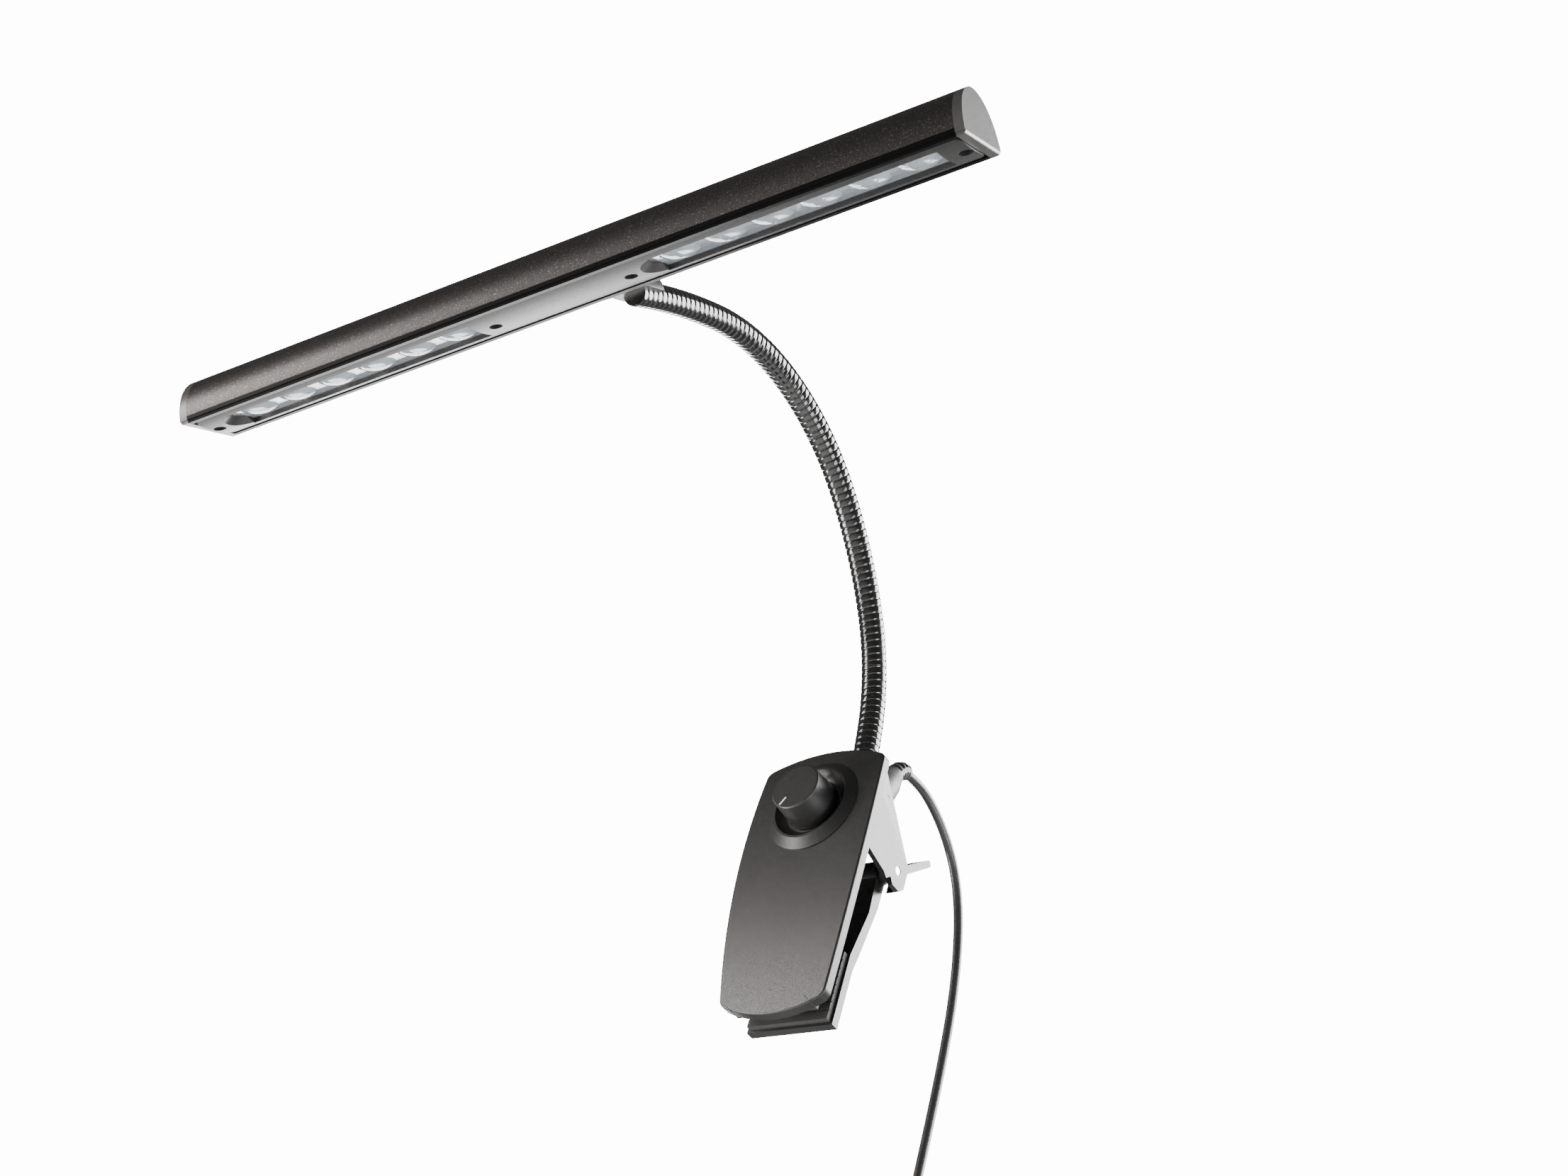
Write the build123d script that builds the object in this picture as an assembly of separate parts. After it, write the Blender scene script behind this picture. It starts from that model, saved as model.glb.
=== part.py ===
from build123d import *
import os
from math import cos, pi, radians, sin

os.makedirs("parts", exist_ok=True)

# Clip-on LED desk light: a spring clip with a dimmer, a flexible gooseneck and a long LED head.
# Millimetres. The clip grips the top edge of an upright panel. Origin: centre of the front jaw
# pad's gripping face. +X runs along the panel's edge, +Y goes through the panel to its back,
# +Z is up.

# ---------------------------------------------------------------- driving dimensions
# clip, front cover and back
KNOB_Z = 58.7            # height of the knob axis
PLATE_Y = -11.0          # outer face of the front cover at the knob axis
PLATE_BOW_R = 400.0      # the cover is bowed lengthwise to this radius
COVER_T = 2.0            # front cover thickness
BACK_T = 1.4             # back plate thickness
CLIP_TOP = 81.0
CLIP_BOTTOM = -14.5
CLIP_CORNER_TOP = 76.0   # height of the top corners
CLIP_CORNER_BOTTOM = -10.0
CLIP_HALF_TOP = 23.0
CLIP_HALF_MID = 24.0
CLIP_HALF_BOTTOM = 19.6
CLIP_CORNER_R = 3.5
EDGE_ROUND = 0.6

# housing behind the clip's back plate
CHEEK_HALF = 22.0        # outer faces of the two cheeks
CHEEK_T = 1.8
CHEEK_BEVEL = 0.8        # bevel between cheek and roof, widest at the back plate
CHEEK_BEVEL_Z = 66.0     # where the bevel starts on the back plate
ROOF_T = 2.0
ROOF_FRONT_Z = 75.0      # where the sloping roof meets the back plate
ROOF_SLOPE = 46.0        # degrees below horizontal, falling to the rear
HOUSING_REAR_Y = 17.0
FLOOR_FRONT_Z = 44.0     # lower edge at the back plate
FLOOR_REAR_Z = 41.2      # lower edge above the panel
HOUSING_FOOT_Z = 40.0    # lowest point of the cheeks

# jaw
PANEL_T = 5.0            # thickness of the gripped panel at rest
PAD_HALF_H = 12.0
PAD_HALF_W = 15.0
REAR_PAD_T = 2.0
PIVOT_Y = 12.0
PIVOT_Z = 46.0
PIN_R = 1.5
PIN_CLEAR = 0.06
HUB_R = 4.0
JAW_HALF = 16.0
JAW_T = 3.0
TAB_Y = 34.0
TAB_Z = 66.7

# dimmer
BEZEL_R = 16.8
BEZEL_RIM_R = 13.4
BEZEL_H = 2.2
BEZEL_SPIGOT_R = 12.0
KNOB_TOP_R = 8.5
KNOB_BASE_R = 9.2
KNOB_H = 10.8            # knob top above the cover
MARK_L = 3.2             # pointer line on the knob
MARK_W = 0.6
MARK_TURN = 212.5        # where it points when turned down, clockwise from the top
POT_R = 7.5
POT_DEPTH = 3.4
BUSH_R = 3.5
SHAFT_R = 3.0
BOARD_T = 1.2            # thickness of every circuit board
DIMMER_BOARD_W = 30.0
DIMMER_BOARD_H = 20.0
FIT = 0.1                # clearance round inserts
COVER_SCREW_X = 15.0     # screws that join the clip's back to its cover
COVER_SCREW_Z = 24.0
SMALL_SCREW_R = 1.0
SMALL_HEAD_R = 1.8

# gooseneck
NECK_R = 4.25
NECK_BORE_R = 2.6
NECK_X = 4.0
NECK_START = (3.9, 58.0)                 # y, z of the lower end, inside its socket
NECK_START_TILT = -2.2                   # degrees from +Z towards -Y
NECK_LINK_L = 41.9
NECK_TURNS = (12.2, 28.2, 19.0, 29.6, 32.7, 11.5)   # bend of each link, degrees
BALL_GAP = 0.35
SOCKET_R = 5.6           # bush that holds the neck's lower end
SOCKET_COLLAR_R = 6.8
SOCKET_COLLAR_T = 2.0
SOCKET_BOSS_WALL = 1.6   # boss of the clip's back round the bush
SOCKET_BOSS_FOOT = -1.0  # boss and bush below the neck's end
SOCKET_BOSS_TOP = 13.6   # boss above the neck's end

# head, drawn in its own frame: u along the head, v from front to back, n up
HEAD_CENTRE = (-7.5, -175.4, 129.7)      # centre of the light face
HEAD_AXIS = (0.991, 0.049, 0.126)        # direction of u
HEAD_UP = (-0.074, -0.589, 0.805)        # direction of n
HEAD_L = 283.0
CAP_T = 3.0
DOME_HALF = 12.4
DOME_H = 15.8
DOME_BASE = 1.8
WALL = 1.4
LIP_HALF = 12.0
LIP_N = 0.7
COVER_HALF = 10.0
COVER_PLATE_T = 2.2
COVER_CORNER_R = 3.2
COVER_BOW_R = 46.0
LEDGE_N = 7.2            # top of the ledges that carry the light bar
LEDGE_IN = 8.4
BAR_HALF = 9.0
BAR_T = 1.6
COVER_GAP = 0.3          # between the light cover and each end cap
SCREW_END = 5.7          # outer screws, from the ends of the head
SCREW_MID_LEFT = 6.0     # inner screws, from the inner ends of the windows
SCREW_MID_RIGHT = 9.5
SCREW_HEAD_R = 2.0
SCREW_HEAD_T = 1.4
SCREW_R = 1.25
POST_R = 2.6
WINDOW_HALF = 6.8
WINDOW_END_LEFT = 15.0   # outer ends of the windows, from the ends of the head
WINDOW_END_RIGHT = 11.5
CELL_L = 15.95
LENS_R = 12.5
LENS_LOW = 0.5           # lowest point of the lenses above the light face
LENS_PLATE_T = 1.0
LED_L = 3.5
LED_W = 2.8
LED_T = 0.9
LIGHT_BOARD_HALF = 7.4

# bracket between the head and the gooseneck
BRACKET_L = 30.0
BRACKET_LOW = 2.5        # flat foot above the light face
BRACKET_HIGH = 7.5
BRACKET_OUT = 17.2       # how far the foot reaches to the rear
BRACKET_SOCKET_R = 6.4
BRACKET_SOCKET_L = 7.5
BRACKET_SCREW_V = 14.3
BRACKET_SCREW_U = (-1.0, 9.0)
BRACKET_SCREW_R = 1.4

# power cord
CORD_R = 1.6
CORD_LENGTH = 1800.0
BOOT_X = 15.5
BOOT_ROOT_Y = -0.5
BOOT_RISE = 64.0         # degrees above the horizontal where it leaves the roof
BOOT_STRAIGHT = 15.0
BOOT_BEND_R = 7.5
BOOT_TURN = 54.0
BOOT_BASE_R = 5.8
BOOT_TOP_R = 3.2
BOOT_SPIGOT_R = 3.5
# points of the cord after its boot, hung free down to the coil
CORD_ROUTE = [
    (15.5, 19.6, 87.0),
    (15.6, 29.5, 84.9),
    (15.7, 39.5, 80.2),
    (15.8, 48.5, 72.8),
    (15.9, 55.5, 62.0),
    (16.0, 60.5, 47.5),
    (16.15, 63.8, 30.0),
    (16.25, 65.4, 9.0),
    (16.3, 66.1, -14.0),
    (16.3, 66.4, -38.0),
    (16.3, 66.3, -60.0),
]
COIL_Z = -66.0           # centre of the coil
COIL_R = 18.4            # middle of its turns
COIL_LAYERS = 4.5        # turns side by side in the coil, outwards
COIL_ROWS = 4            # turns side by side from front to back
TIE_W = 5.0
TIE_T = 1.2
CORD_OVERLAP = 6.0       # the tubes end this far from the coil's centre height, inside it
TAIL_GAP = 8.0           # between the coil and the plug's boot
PLUG_BOOT_L = 12.0
PLUG_X = 36.0
PLUG_Y = 27.0
PLUG_Z = 58.0
PLUG_ROUND = 4.0
PIN_LEN = 19.0
PIN_R_PLUG = 2.0
PIN_SPACING = 18.6


# ---------------------------------------------------------------- helpers
def save(node, *solids):
    """Write one node: a single solid, or a group of separate solids."""
    found = [s for shape in solids for s in shape.solids()]
    shape = found[0] if len(found) == 1 else Compound(children=found)
    shape.label = node
    export_step(shape, f"parts/{node}.step")


def yz_prism(points, half_width, x=0.0):
    """A prism along X with a polygon in the YZ plane as its section."""
    wire = Polyline(*[(x - half_width, y, z) for y, z in points], close=True)
    return extrude(make_face(wire), amount=2 * half_width, dir=(1, 0, 0))


def rod(start, direction, length, radius, far_radius=None):
    """A round bar or cone from a start point along a direction."""
    plane = Plane(origin=start, z_dir=direction)
    far = radius if far_radius is None else far_radius
    if far == radius:
        return extrude(plane * Circle(radius), amount=length)
    return plane * (Pos(0, 0, length / 2) * Cone(radius, far, length))


def plate_y(z, depth=0.0):
    """Depth of the bowed cover at height z, measured inwards from its outer face."""
    return PLATE_Y + (z - KNOB_Z) ** 2 / (2 * PLATE_BOW_R) + depth


def clip_outline():
    """Outline of the clip's cover and back in the XZ plane, as a face at y = 0."""
    top, bottom = CLIP_CORNER_TOP, CLIP_CORNER_BOTTOM
    half_top, half_bottom = CLIP_HALF_TOP, CLIP_HALF_BOTTOM
    mid_z = (top + bottom) / 2 + 12
    half_mid = CLIP_HALF_MID
    corners = [(-half_top, 0, top), (half_top, 0, top), (half_bottom, 0, bottom), (-half_bottom, 0, bottom)]
    edges = [
        ThreePointArc(corners[0], (0, 0, CLIP_TOP), corners[1]),
        ThreePointArc(corners[1], (half_mid, 0, mid_z), corners[2]),
        ThreePointArc(corners[2], (0, 0, CLIP_BOTTOM), corners[3]),
        ThreePointArc(corners[3], (-half_mid, 0, mid_z), corners[0]),
    ]
    face = make_face(edges)
    return fillet(face.vertices(), CLIP_CORNER_R)


def bowed_slab(depth_from, depth_to):
    """A slab with the clip's outline that follows the bow between two depths."""
    prism = extrude(clip_outline(), amount=40, dir=(0, 1, 0), both=True)
    axis_y = PLATE_Y + PLATE_BOW_R
    turn = Plane(origin=(-60, axis_y, KNOB_Z), z_dir=(1, 0, 0))
    shell = extrude(turn * (Circle(PLATE_BOW_R - depth_from) - Circle(PLATE_BOW_R - depth_to)), amount=120)
    near = Pos(0, PLATE_Y + 20, KNOB_Z - 20) * Box(120, 60, 160)
    return prism & shell & near


def roof_z(y, drop=0.0):
    """Height of the housing's sloping roof at depth y."""
    slope = sin(radians(ROOF_SLOPE)) / cos(radians(ROOF_SLOPE))
    front_y = plate_y(ROOF_FRONT_Z, COVER_T + BACK_T)
    return ROOF_FRONT_Z - (y - front_y) * slope - drop / cos(radians(ROOF_SLOPE))


# ---------------------------------------------------------------- gooseneck line
def neck_tangent(tilt):
    return (0.0, -sin(radians(tilt)), cos(radians(tilt)))


def neck_stations():
    """Joint points of the gooseneck and its tilt there, from the socket to the head."""
    y, z = NECK_START
    tilt = NECK_START_TILT
    stations = [((NECK_X, y, z), tilt)]
    for turn in NECK_TURNS:
        radius = NECK_LINK_L / radians(turn)
        chord = 2 * radius * sin(radians(turn) / 2)
        middle = tilt + turn / 2
        y -= chord * sin(radians(middle))
        z += chord * cos(radians(middle))
        tilt += turn
        stations.append(((NECK_X, y, z), tilt))
    return stations


STATIONS = neck_stations()


def neck_tube(index, radius):
    """A bent bar of one radius along link number index."""
    (start, tilt), (end, _) = STATIONS[index], STATIONS[index + 1]
    turn = NECK_TURNS[index]
    bend = NECK_LINK_L / radians(turn)
    middle = tilt + turn / 4
    half_chord = 2 * bend * sin(radians(turn) / 4)
    mid = (
        NECK_X,
        start[1] - half_chord * sin(radians(middle)),
        start[2] + half_chord * cos(radians(middle)),
    )
    path = ThreePointArc(start, mid, end)
    return sweep(Plane(origin=start, z_dir=neck_tangent(tilt)) * Circle(radius), path=path)


def neck_link(index):
    """One link of the gooseneck: a bored tube with a ball at its far end and a cup at its near end."""
    last = index == len(NECK_TURNS) - 1
    start, tilt = STATIONS[index]
    end, end_tilt = STATIONS[index + 1]
    link = neck_tube(index, NECK_R)
    bore = neck_tube(index, NECK_BORE_R)
    if not last:
        link += Pos(*end) * Sphere(NECK_R)
        bore += rod(end, neck_tangent(end_tilt), NECK_R + 1, NECK_BORE_R)
    if index:
        link -= Pos(*start) * Sphere(NECK_R + BALL_GAP)
    return link - bore


# ---------------------------------------------------------------- clip
def pivot_point(x=0.0):
    return (x, PIVOT_Y, PIVOT_Z)


def neck_point(along):
    """A point on the straight line of the neck's lower end."""
    (x, y, z), tilt = STATIONS[0]
    t = neck_tangent(tilt)
    return (x, y + t[1] * along, z + t[2] * along)


def bezel_hole():
    return rod((0, PLATE_Y - 5, KNOB_Z), (0, 1, 0), 5 + COVER_T + 1, BEZEL_SPIGOT_R + FIT)


def clip_screw(grow=0.0, head_grow=0.0):
    """One of the screws that join the clip's back to its cover, on the right side."""
    rear = plate_y(COVER_SCREW_Z, COVER_T + BACK_T)
    shank = rod((COVER_SCREW_X, rear + 0.5, COVER_SCREW_Z), (0, -1, 0), BACK_T + 1.7, SMALL_SCREW_R + grow)
    head = rod((COVER_SCREW_X, rear - 0.1, COVER_SCREW_Z), (0, 1, 0), 1.0, SMALL_HEAD_R + head_grow)
    return shank + head


def screw_core():
    """The shank of that screw, from its head into the cover."""
    rear = plate_y(COVER_SCREW_Z, COVER_T + BACK_T)
    return rod((COVER_SCREW_X, rear + 0.3, COVER_SCREW_Z), (0, -1, 0), BACK_T + 1.5, SMALL_SCREW_R)


def clip_screws():
    rear = plate_y(COVER_SCREW_Z, COVER_T + BACK_T)
    drive = Pos(COVER_SCREW_X, rear + 0.8, COVER_SCREW_Z) * (Box(2.2, 0.8, 0.5) + Box(0.5, 0.8, 2.2))
    screw = clip_screw() - drive - bowed_slab(-5, COVER_T + BACK_T) + screw_core()
    return [screw, mirror(screw, Plane.YZ)]


def front_cover():
    cover = bowed_slab(0, COVER_T)
    rim = cover.faces().sort_by(Axis.Y)[0].edges()
    cover = fillet(rim, EDGE_ROUND) - bezel_hole()
    return cover - screw_core() - mirror(screw_core(), Plane.YZ)


def housing_section(drop=0.0):
    """Side outline of the housing: roof, rear wall, foot and the slope above the panel."""
    front_y = plate_y(ROOF_FRONT_Z, COVER_T + BACK_T / 2)
    low_y = plate_y(FLOOR_FRONT_Z, COVER_T + BACK_T / 2)
    rear = HOUSING_REAR_Y - drop
    under = 1.5 * drop
    return [
        (front_y, roof_z(front_y, drop)),
        (rear, roof_z(rear, drop)),
        (rear, HOUSING_FOOT_Z + 2 - under),
        (rear - 2, HOUSING_FOOT_Z - under),
        (PANEL_T + 2, HOUSING_FOOT_Z - under),
        (PANEL_T, FLOOR_REAR_Z - under),
        (low_y, FLOOR_FRONT_Z - under),
    ]


def cheek_bevel(side):
    """Half-space outside the bevel between one cheek and the roof."""
    front_y = plate_y(CHEEK_BEVEL_Z, COVER_T)
    low_front = Vector(side * CHEEK_HALF, front_y, CHEEK_BEVEL_Z)
    rear = Vector(side * CHEEK_HALF, HOUSING_REAR_Y, roof_z(HOUSING_REAR_Y) - 0.1)
    high_front = Vector(side * (CHEEK_HALF - CHEEK_BEVEL), front_y, roof_z(front_y))
    normal = (rear - low_front).cross(high_front - low_front)
    away = normal if normal.X * side > 0 else normal * -1
    return extrude(Plane(origin=low_front, z_dir=away) * Rectangle(120, 120), amount=10)


def socket_boss():
    """Upright boss in the housing for the neck's bush, flat on top."""
    _, tilt = STATIONS[0]
    length = SOCKET_BOSS_TOP - SOCKET_BOSS_FOOT
    return rod(neck_point(SOCKET_BOSS_FOOT), neck_tangent(tilt), length, SOCKET_R + SOCKET_BOSS_WALL)


def clip_back():
    """Back plate with the wedge-shaped housing for the dimmer, the neck and the jaw hinge."""
    plate = bowed_slab(COVER_T, COVER_T + BACK_T)
    body = yz_prism(housing_section(), CHEEK_HALF) - cheek_bevel(-1) - cheek_bevel(1)
    body -= yz_prism(housing_section(ROOF_T), CHEEK_HALF - CHEEK_T)
    body -= bowed_slab(-5, COVER_T + BACK_T / 2)
    body += plate
    # opening through the back plate for the dimmer
    opening = RectangleRounded(DIMMER_BOARD_W + 2, DIMMER_BOARD_H + 2, 2)
    through = Plane(origin=(0, PLATE_Y, KNOB_Z), x_dir=(1, 0, 0), z_dir=(0, 1, 0))
    body -= extrude(through * opening, amount=COVER_T + BACK_T + 2)
    # slot for the finger tab in the rear of the roof
    slot_front = PIVOT_Y - 2.0
    body -= Pos(0, slot_front + 10, PIVOT_Z + 8) * Box(2 * (JAW_HALF + 1.0), 20, 32)
    body += socket_boss()
    # hinge bosses, the pin's bore and an assembly notch in each cheek
    boss_l = CHEEK_HALF - CHEEK_T / 2 - JAW_HALF - 0.4
    for side in (-1, 1):
        body += rod(pivot_point(side * (CHEEK_HALF - CHEEK_T / 2)), (-side, 0, 0), boss_l, HUB_R - 0.6)
        body -= Pos(side * CHEEK_HALF, PIVOT_Y - 3.0, HOUSING_FOOT_Z) * Rot(45, 0, 0) * Box(8, 2.6, 2.6)
    body -= rod(pivot_point(-CHEEK_HALF - 1), (1, 0, 0), 2 * CHEEK_HALF + 2, PIN_R)
    _, tilt = STATIONS[0]
    body -= rod(neck_point(SOCKET_BOSS_FOOT - 1), neck_tangent(tilt), 30, SOCKET_R)
    body -= boot_spigot()
    for hole in (clip_screw(0.1, 0.3), mirror(clip_screw(0.1, 0.3), Plane.YZ)):
        body -= hole & bowed_slab(-5, COVER_T + BACK_T)
    return body


def neck_socket():
    """Turned bush that holds the neck's lower end, with a collar on the boss."""
    _, tilt = STATIONS[0]
    t = neck_tangent(tilt)
    bush = rod(neck_point(SOCKET_BOSS_FOOT), t, SOCKET_BOSS_TOP - SOCKET_BOSS_FOOT, SOCKET_R)
    collar = rod(neck_point(SOCKET_BOSS_TOP), t, SOCKET_COLLAR_T, SOCKET_COLLAR_R)
    collar = fillet(collar.edges().sort_by(Axis.Z)[-1], 0.6)
    wire_way = rod(neck_point(SOCKET_BOSS_FOOT - 1), t, 6, NECK_BORE_R)
    return bush + collar - neck_tube(0, NECK_R) - wire_way


def knob_bezel():
    """Raised ring round the knob: a cone outside, a hollow bowl inside and a floor under the knob."""
    floor_r = KNOB_BASE_R + 0.8
    lip = Polyline(
        (BEZEL_R, 0.8, 0),
        (BEZEL_R, -0.1, 0),
        (BEZEL_RIM_R + 0.3, -BEZEL_H, 0),
        (BEZEL_RIM_R - 0.5, -BEZEL_H, 0),
    )
    bowl = ThreePointArc((BEZEL_RIM_R - 0.5, -BEZEL_H, 0), (BEZEL_RIM_R - 2.2, -0.4, 0), (floor_r, 0.3, 0))
    base = Polyline(
        (floor_r, 0.3, 0),
        (BUSH_R + FIT, 0.3, 0),
        (BUSH_R + FIT, COVER_T - 0.3, 0),
        (BEZEL_SPIGOT_R, COVER_T - 0.3, 0),
        (BEZEL_SPIGOT_R, 0.8, 0),
        (BEZEL_R, 0.8, 0),
    )
    ring = revolve(make_face([*lip.edges(), *bowl.edges(), *base.edges()]), Axis.Y)
    return Pos(0, PLATE_Y, KNOB_Z) * ring - (bowed_slab(0, COVER_T) - bezel_hole())


def dimmer_knob():
    """Tapered knob with a rounded top edge, turning on the potentiometer's shaft."""
    bottom = (0, PLATE_Y - 0.1, KNOB_Z)
    body = rod(bottom, (0, -1, 0), KNOB_H - 0.1, KNOB_BASE_R, KNOB_TOP_R)
    body = fillet(body.faces().sort_by(Axis.Y)[0].edges(), 0.5)
    nut_room = rod(bottom, (0, -1, 0), 3.0, BUSH_R + 2.6)
    bore = rod(bottom, (0, -1, 0), KNOB_H - 2.5, SHAFT_R)
    return body - nut_room - bore - knob_mark()


def knob_mark():
    """Pointer line let into the top of the knob."""
    middle = KNOB_TOP_R - 0.7 - MARK_L / 2
    line = Rot(0, MARK_TURN, 0) * Pos(0, 0, middle) * Box(MARK_W, 0.4, MARK_L)
    return Pos(0, PLATE_Y - KNOB_H + 0.2, KNOB_Z) * line


def board_y():
    """Front face of the dimmer's board, just behind the cover."""
    return PLATE_Y + COVER_T + 0.3


def potentiometer():
    """Round can behind the board, with its threaded bush through the board and the bezel."""
    back = board_y() + BOARD_T
    can = rod((0, back, KNOB_Z), (0, 1, 0), POT_DEPTH, POT_R)
    bush = rod((0, back, KNOB_Z), (0, -1, 0), BOARD_T + COVER_T + 1.5, BUSH_R)
    shaft_way = rod((0, back + 1.1, KNOB_Z), (0, -1, 0), 9, SHAFT_R + 0.05)
    return can + bush - shaft_way


def pot_shaft():
    back = board_y() + BOARD_T + 1.0
    return rod((0, back, KNOB_Z), (0, -1, 0), back - PLATE_Y + KNOB_H - 2.5, SHAFT_R)


def pot_nut():
    plane = Plane(origin=(0, PLATE_Y + 0.3, KNOB_Z), z_dir=(0, -1, 0))
    return extrude(plane * RegularPolygon(BUSH_R + 2.0, 6), amount=1.3) - rod(
        (0, PLATE_Y + 2, KNOB_Z), (0, -1, 0), 6, BUSH_R
    )


def dimmer_board():
    """Circuit board between the cover and the potentiometer's can, with two components."""
    y = board_y() + BOARD_T / 2
    board = Pos(0, y, KNOB_Z) * Box(DIMMER_BOARD_W, BOARD_T, DIMMER_BOARD_H)
    chip = Pos(-DIMMER_BOARD_W / 2 + 4, y + 1.0, KNOB_Z - 5) * Box(4, 1.2, 5)
    coil = Pos(-DIMMER_BOARD_W / 2 + 4, y + 1.4, KNOB_Z + 4) * Box(5, 2.0, 5)
    return board + chip + coil - rod((0, PLATE_Y, KNOB_Z), (0, 1, 0), 8, BUSH_R)


def front_pad():
    """Rubber pad on the back plate, flat where it meets the panel."""
    block = Pos(0, -4.0, 0) * Box(2 * PAD_HALF_W, 8.0, 2 * PAD_HALF_H)
    return block - bowed_slab(-10, COVER_T + BACK_T)


def jaw_lever():
    """Rear jaw: a hub on the hinge pin, an arm down behind the panel and a finger tab."""
    face_y = PANEL_T + REAR_PAD_T
    arm = yz_prism(
        [
            (PIVOT_Y - 2.6, PIVOT_Z),
            (PIVOT_Y + 2.4, PIVOT_Z),
            (PIVOT_Y + 2.4, 34),
            (face_y + JAW_T + 1.2, 14),
            (face_y + JAW_T, 8),
            (face_y + JAW_T, -PAD_HALF_H - 1),
            (face_y, -PAD_HALF_H - 1),
            (face_y, PAD_HALF_H),
            (PIVOT_Y - 1.4, 30),
        ],
        JAW_HALF,
    )
    window = Pos(0, PIVOT_Y, 29) * Box(JAW_HALF, 20, 12)
    base = Vector(*pivot_point())
    tip = Vector(0, TAB_Y, TAB_Z)
    along = (tip - base).normalized()
    across = Vector(0, -along.Z, along.Y)
    under = across * -2.6
    corners = [base + along + under, tip + under, tip - across * 0.2, base + along + across * 0.6]
    tab = yz_prism([(p.Y, p.Z) for p in corners], JAW_HALF)
    tip_edges = tab.edges().filter_by(Axis.X).sort_by(Axis.Y)[-2:]
    tab = fillet(tip_edges, 1.1)
    hub = rod(pivot_point(-JAW_HALF), (1, 0, 0), 2 * JAW_HALF, HUB_R)
    spring_bay = rod(pivot_point(-6.5), (1, 0, 0), 13, HUB_R + 0.4)
    leg_way = Pos(0, PIVOT_Y - 4, PIVOT_Z + 4) * Box(13, 8, 8)
    lever = arm - window + hub + tab - spring_bay - leg_way
    return lever - rod(pivot_point(-JAW_HALF - 1), (1, 0, 0), 2 * JAW_HALF + 2, PIN_R + PIN_CLEAR)


def rear_pad():
    """Ribbed rubber pad on the jaw."""
    pad = Pos(0, PANEL_T + REAR_PAD_T / 2, 0) * Box(2 * PAD_HALF_W, REAR_PAD_T, 2 * PAD_HALF_H)
    groove_step = 3.0
    count = int(PAD_HALF_H / groove_step)
    for k in range(-count + 1, count):
        pad -= Pos(0, PANEL_T, k * groove_step) * Box(2 * PAD_HALF_W + 2, 0.6, 0.5)
    return pad


def hinge_pin():
    return rod(pivot_point(-CHEEK_HALF + 0.2), (1, 0, 0), 2 * CHEEK_HALF - 0.4, PIN_R)


def torsion_spring():
    """Coils round the hinge pin, one leg up to the roof and one down the jaw's arm."""
    wire_r = 0.7
    leg_r = 0.6
    coil_r = HUB_R - 0.4 - wire_r
    body = rod(pivot_point(-4.3), (1, 0, 0), 8.6, coil_r)
    body -= rod(pivot_point(-5), (1, 0, 0), 10, coil_r - wire_r)
    for k in range(4):
        body += Pos(-3.6 + 2.4 * k, PIVOT_Y, PIVOT_Z) * Rot(0, 90, 0) * Torus(coil_r, wire_r)
    fixed_leg = rod((-3.6, PIVOT_Y - coil_r, PIVOT_Z), (0, 0, 1), 20, leg_r)
    fixed_leg &= yz_prism(housing_section(ROOF_T), CHEEK_HALF)
    arm_face = PIVOT_Y + 2.4
    jaw_leg = Pos(3.6, arm_face + leg_r, PIVOT_Z - 4.5) * Cylinder(leg_r, 9)
    return body + fixed_leg + jaw_leg


# ---------------------------------------------------------------- head
HEAD = Plane(origin=HEAD_CENTRE, x_dir=HEAD_AXIS, z_dir=HEAD_UP)
SHELL_L = HEAD_L - 2 * CAP_T
COVER_L = SHELL_L - 2 * COVER_GAP
CELLS = int((HEAD_L - 90) / 2 / CELL_L)
WINDOW_STARTS = (-HEAD_L / 2 + WINDOW_END_LEFT, HEAD_L / 2 - WINDOW_END_RIGHT - CELLS * CELL_L)
SCREW_AT = (
    -HEAD_L / 2 + SCREW_END,
    WINDOW_STARTS[0] + CELLS * CELL_L + SCREW_MID_LEFT,
    WINDOW_STARTS[1] - SCREW_MID_RIGHT,
    HEAD_L / 2 - SCREW_END,
)


def vn_prism(face, length, u=0.0):
    """A section drawn in the v-n plane, run along the head about station u."""
    start = Plane(origin=(u - length / 2, 0, 0), x_dir=(0, 1, 0), z_dir=(1, 0, 0))
    return extrude(start * face, amount=length)


def dome(inset=0.0, floor=0.0):
    """The shade's half-ellipse inset by a wall, above a floor, as a face in v and n."""
    half, height = DOME_HALF - inset, DOME_H - inset
    face = Pos(0, DOME_BASE) * Ellipse(half, height)
    low = max(DOME_BASE, floor)
    return face & (Pos(0, low + height) * Rectangle(4 * half, 2 * height))


def lip():
    return Pos(0, (LIP_N + DOME_BASE) / 2) * Rectangle(2 * LIP_HALF, DOME_BASE - LIP_N)


def lamp_housing():
    """Extruded shade: a dome with a lip along each side and two ledges inside."""
    ledge_low = LEDGE_N - BOARD_T
    cavity = dome(WALL, LEDGE_N)
    below = dome(WALL) & (Pos(0, ledge_low / 2) * Rectangle(4 * DOME_HALF, ledge_low))
    slot = Pos(0, LEDGE_N / 2) * Rectangle(2 * LEDGE_IN, LEDGE_N + 1)
    cover_slot = Pos(0, COVER_PLATE_T / 2) * Rectangle(2 * (COVER_HALF + FIT), COVER_PLATE_T + 2)
    return vn_prism(dome() + lip() - cavity - below - slot - cover_slot, SHELL_L)


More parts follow.
